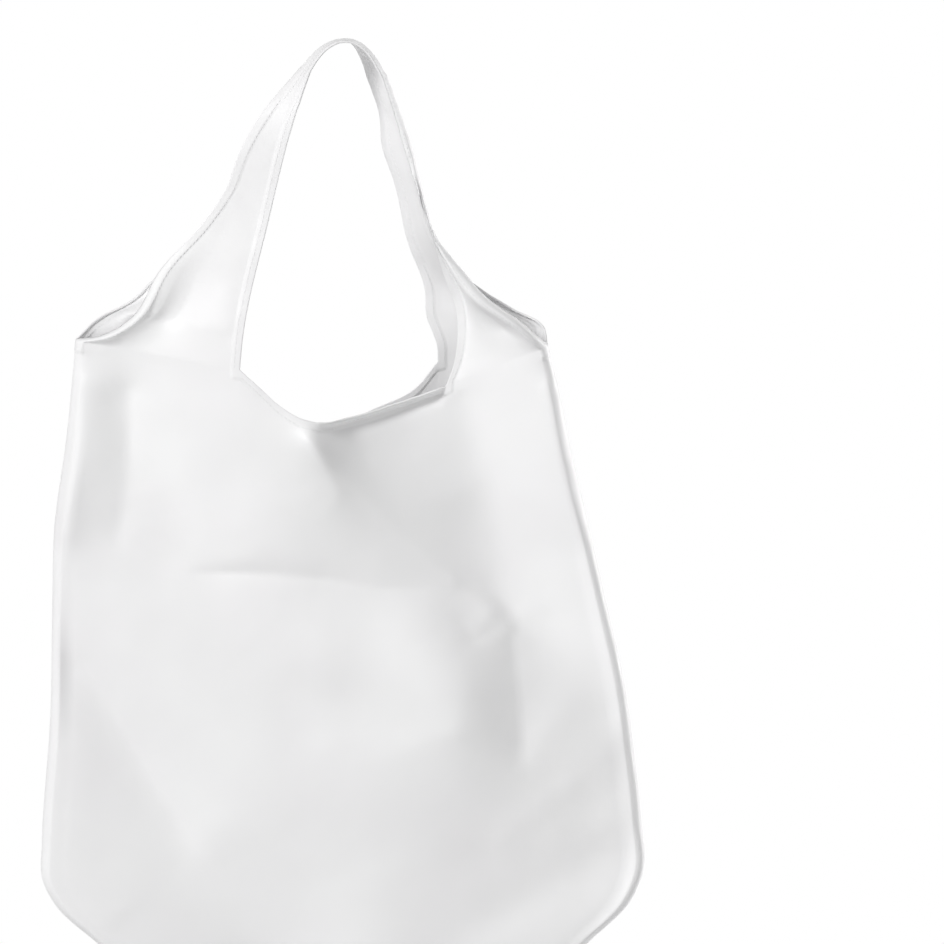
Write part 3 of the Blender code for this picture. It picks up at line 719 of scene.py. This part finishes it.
def add_stitch(thread, surface, middle, along, off):
    """Adds one stitch, which lies on the face of the cloth that off points to."""
    place, normal, _, _ = surface.find_nearest(middle + off)
    if place is None or normal.dot(off) < 0.0:
        return
    along = (along - normal * along.dot(normal)).normalized()
    across = normal.cross(along)
    rings = []
    for share, swell in STITCH_RINGS:
        centre = place + along * (share * STITCH_LENGTH)
        if swell == 0.0:
            rings.append([thread.verts.new(centre)])
            continue
        ring = []
        for turn in np.linspace(0.0, 2.0 * math.pi, STITCH_SIDES, endpoint=False):
            spoke = across * math.cos(turn) + normal * (STITCH_FLATNESS * math.sin(turn))
            ring.append(thread.verts.new(centre + spoke * (STITCH_RADIUS * swell)))
        rings.append(ring)
    for ring, after in zip(rings, rings[1:]):
        for i in range(STITCH_SIDES):
            j = (i + 1) % STITCH_SIDES
            if len(ring) == 1:
                thread.faces.new((ring[0], after[j], after[i]))
            elif len(after) == 1:
                thread.faces.new((ring[i], ring[j], after[0]))
            else:
                thread.faces.new((ring[i], ring[j], after[j], after[i]))


def new_node(tree, kind, **values):
    """A node with its settings and its inputs' values given by name, with spaces as underscores."""
    made = tree.nodes.new(kind)
    for name, value in values.items():
        if hasattr(made, name):
            setattr(made, name, value)
        else:
            made.inputs[name.replace("_", " ")].default_value = value
    return made


def cloth_material(name, colours, roughness, weave):
    """A smooth woven white cloth with a faint sheen, and slight unevenness in colour and gloss."""
    material = bpy.data.materials.new(name)
    material.use_nodes = True
    tree = material.node_tree
    link = tree.links.new
    shader = tree.nodes["Principled BSDF"]
    shader.inputs["Sheen Weight"].default_value = SHEEN_WEIGHT
    shader.inputs["Sheen Roughness"].default_value = SHEEN_ROUGHNESS
    shader.inputs["Specular IOR Level"].default_value = SPECULAR_LEVEL
    place = tree.nodes.new("ShaderNodeTexCoord").outputs["Object"]

    cloudy = new_node(tree, "ShaderNodeTexNoise", Scale=CLOUD_SCALE, Detail=CLOUD_DETAIL)
    tint = tree.nodes.new("ShaderNodeValToRGB")
    for element, position, colour in zip(tint.color_ramp.elements, CLOUD_RANGE, colours):
        element.position = position
        element.color = colour
    link(place, cloudy.inputs["Vector"])
    link(cloudy.outputs["Fac"], tint.inputs["Fac"])
    link(tint.outputs["Color"], shader.inputs["Base Color"])

    gloss = new_node(tree, "ShaderNodeTexNoise", Scale=GLOSS_SCALE, Detail=GLOSS_DETAIL)
    gloss_range = new_node(
        tree, "ShaderNodeMapRange", From_Min=GLOSS_RANGE[0], From_Max=GLOSS_RANGE[1],
        To_Min=roughness - ROUGHNESS_SPREAD, To_Max=roughness + ROUGHNESS_SPREAD,
    )
    link(place, gloss.inputs["Vector"])
    link(gloss.outputs["Fac"], gloss_range.inputs["Value"])
    link(gloss_range.outputs["Result"], shader.inputs["Roughness"])

    threads = new_node(tree, "ShaderNodeMath", operation="ADD")
    for number, axis in enumerate("XZ"):
        wave = new_node(tree, "ShaderNodeTexWave", bands_direction=axis, Scale=weave,
                        Distortion=WEAVE_DISTORTION, Detail=WEAVE_DETAIL)
        link(place, wave.inputs["Vector"])
        link(wave.outputs["Fac"], threads.inputs[number])
    weave_bump = new_node(tree, "ShaderNodeBump", Strength=BUMP_STRENGTH, Distance=WEAVE_HEIGHT)
    link(threads.outputs["Value"], weave_bump.inputs["Height"])
    grain = new_node(tree, "ShaderNodeTexNoise", Scale=GRAIN_SCALE, Detail=GRAIN_DETAIL)
    link(place, grain.inputs["Vector"])
    grain_bump = new_node(tree, "ShaderNodeBump", Strength=BUMP_STRENGTH, Distance=GRAIN_HEIGHT)
    link(grain.outputs["Fac"], grain_bump.inputs["Height"])
    link(weave_bump.outputs["Normal"], grain_bump.inputs["Normal"])
    link(grain_bump.outputs["Normal"], shader.inputs["Normal"])
    return material


def seen_directly(tree):
    """An output that is 1 on camera, glossy and transmission rays, and 0 on those that light the bag."""
    paths = tree.nodes.new("ShaderNodeLightPath")
    first = new_node(tree, "ShaderNodeMath", operation="MAXIMUM")
    second = new_node(tree, "ShaderNodeMath", operation="MAXIMUM")
    tree.links.new(paths.outputs["Is Camera Ray"], first.inputs[0])
    tree.links.new(paths.outputs["Is Glossy Ray"], first.inputs[1])
    tree.links.new(first.outputs["Value"], second.inputs[0])
    tree.links.new(paths.outputs["Is Transmission Ray"], second.inputs[1])
    return second.outputs["Value"]


def make_stage():
    """A plain white world, which looks white and sheds only a soft light on the bag."""
    world = bpy.data.worlds.new("studio")
    bpy.context.scene.world = world
    world.use_nodes = True
    tree = world.node_tree
    link = tree.links.new
    tree.nodes.clear()
    lit = new_node(tree, "ShaderNodeBackground", Color=WHITE, Strength=WORLD_LIGHT)
    shown = new_node(tree, "ShaderNodeBackground", Color=WHITE)
    mix = tree.nodes.new("ShaderNodeMixShader")
    out = tree.nodes.new("ShaderNodeOutputWorld")
    link(seen_directly(tree), mix.inputs[0])
    link(lit.outputs[0], mix.inputs[1])
    link(shown.outputs[0], mix.inputs[2])
    link(mix.outputs[0], out.inputs["Surface"])


def make_floor():
    """A pale round floor, which turns into the white of the background away from the bag."""
    disc = bmesh.new()
    bmesh.ops.create_circle(disc, cap_ends=True, segments=FLOOR_SIDES, radius=FLOOR_RADIUS)
    mesh = bpy.data.meshes.new("floor")
    disc.to_mesh(mesh)
    disc.free()
    floor = bpy.data.objects.new("floor", mesh)
    floor.location = (0.0, 0.0, FLOOR_LEVEL)
    bpy.context.scene.collection.objects.link(floor)
    material = bpy.data.materials.new("pale_floor")
    material.use_nodes = True
    tree = material.node_tree
    link = tree.links.new
    shader = tree.nodes["Principled BSDF"]
    shader.inputs["Base Color"].default_value = FLOOR_COLOUR
    shader.inputs["Roughness"].default_value = FLOOR_ROUGHNESS
    place = tree.nodes.new("ShaderNodeTexCoord")
    away = new_node(tree, "ShaderNodeVectorMath", operation="LENGTH")
    link(place.outputs["Object"], away.inputs[0])
    fade = new_node(
        tree, "ShaderNodeMapRange", From_Min=FLOOR_FADE_REACHES[0], From_Max=FLOOR_FADE_REACHES[1],
        To_Min=FLOOR_FADE_SHARES[0], To_Max=FLOOR_FADE_SHARES[1],
    )
    link(away.outputs["Value"], fade.inputs["Value"])
    share = new_node(tree, "ShaderNodeMath", operation="MULTIPLY")
    link(seen_directly(tree), share.inputs[0])
    link(fade.outputs["Result"], share.inputs[1])
    white = new_node(tree, "ShaderNodeEmission", Color=WHITE, Strength=1.0)
    mix = tree.nodes.new("ShaderNodeMixShader")
    link(share.outputs["Value"], mix.inputs["Fac"])
    link(shader.outputs["BSDF"], mix.inputs[1])
    link(white.outputs["Emission"], mix.inputs[2])
    link(mix.outputs["Shader"], tree.nodes["Material Output"].inputs["Surface"])
    mesh.materials.append(material)


def make_lights():
    """Soft round lamps that all look at the bag."""
    for name, place, size, power in LAMPS:
        data = bpy.data.lights.new(name, "AREA")
        data.shape = "DISK"
        data.size = size
        data.energy = power
        lamp = bpy.data.objects.new(name, data)
        lamp.location = place
        lamp.rotation_euler = (AIM - Vector(place)).to_track_quat("-Z", "Y").to_euler()
        bpy.context.scene.collection.objects.link(lamp)


def make_camera():
    """A camera in front of the bag and a little above it."""
    data = bpy.data.cameras.new("camera")
    camera = bpy.data.objects.new("camera", data)
    bpy.context.scene.collection.objects.link(camera)
    elevation = math.radians(CAMERA_ELEVATION)
    toward = Vector((0.0, -math.cos(elevation), math.sin(elevation)))
    camera.location = VIEW_CENTRE + toward * CAMERA_DISTANCE
    camera.rotation_euler = (math.pi / 2 - elevation, 0.0, 0.0)
    data.sensor_width = SENSOR_WIDTH
    data.lens = SENSOR_WIDTH * CAMERA_DISTANCE / VIEW_WIDTH
    data.clip_end = CAMERA_SIGHT
    bpy.context.scene.camera = camera


make_camera()
make_stage()
make_floor()
make_lights()
cloth = make_cloth()
cloth.data.materials.append(cloth_material("white_cloth", CLOTH_COLOURS, CLOTH_ROUGHNESS, CLOTH_WEAVE))
stitches = make_stitches(cloth)
stitches.data.materials.append(cloth_material("white_thread", THREAD_COLOURS, THREAD_ROUGHNESS, THREAD_WEAVE))
for piece in (cloth, stitches):
    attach(piece, "root")
    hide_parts("bag")

bpy.context.scene.view_settings.view_transform = "Standard"
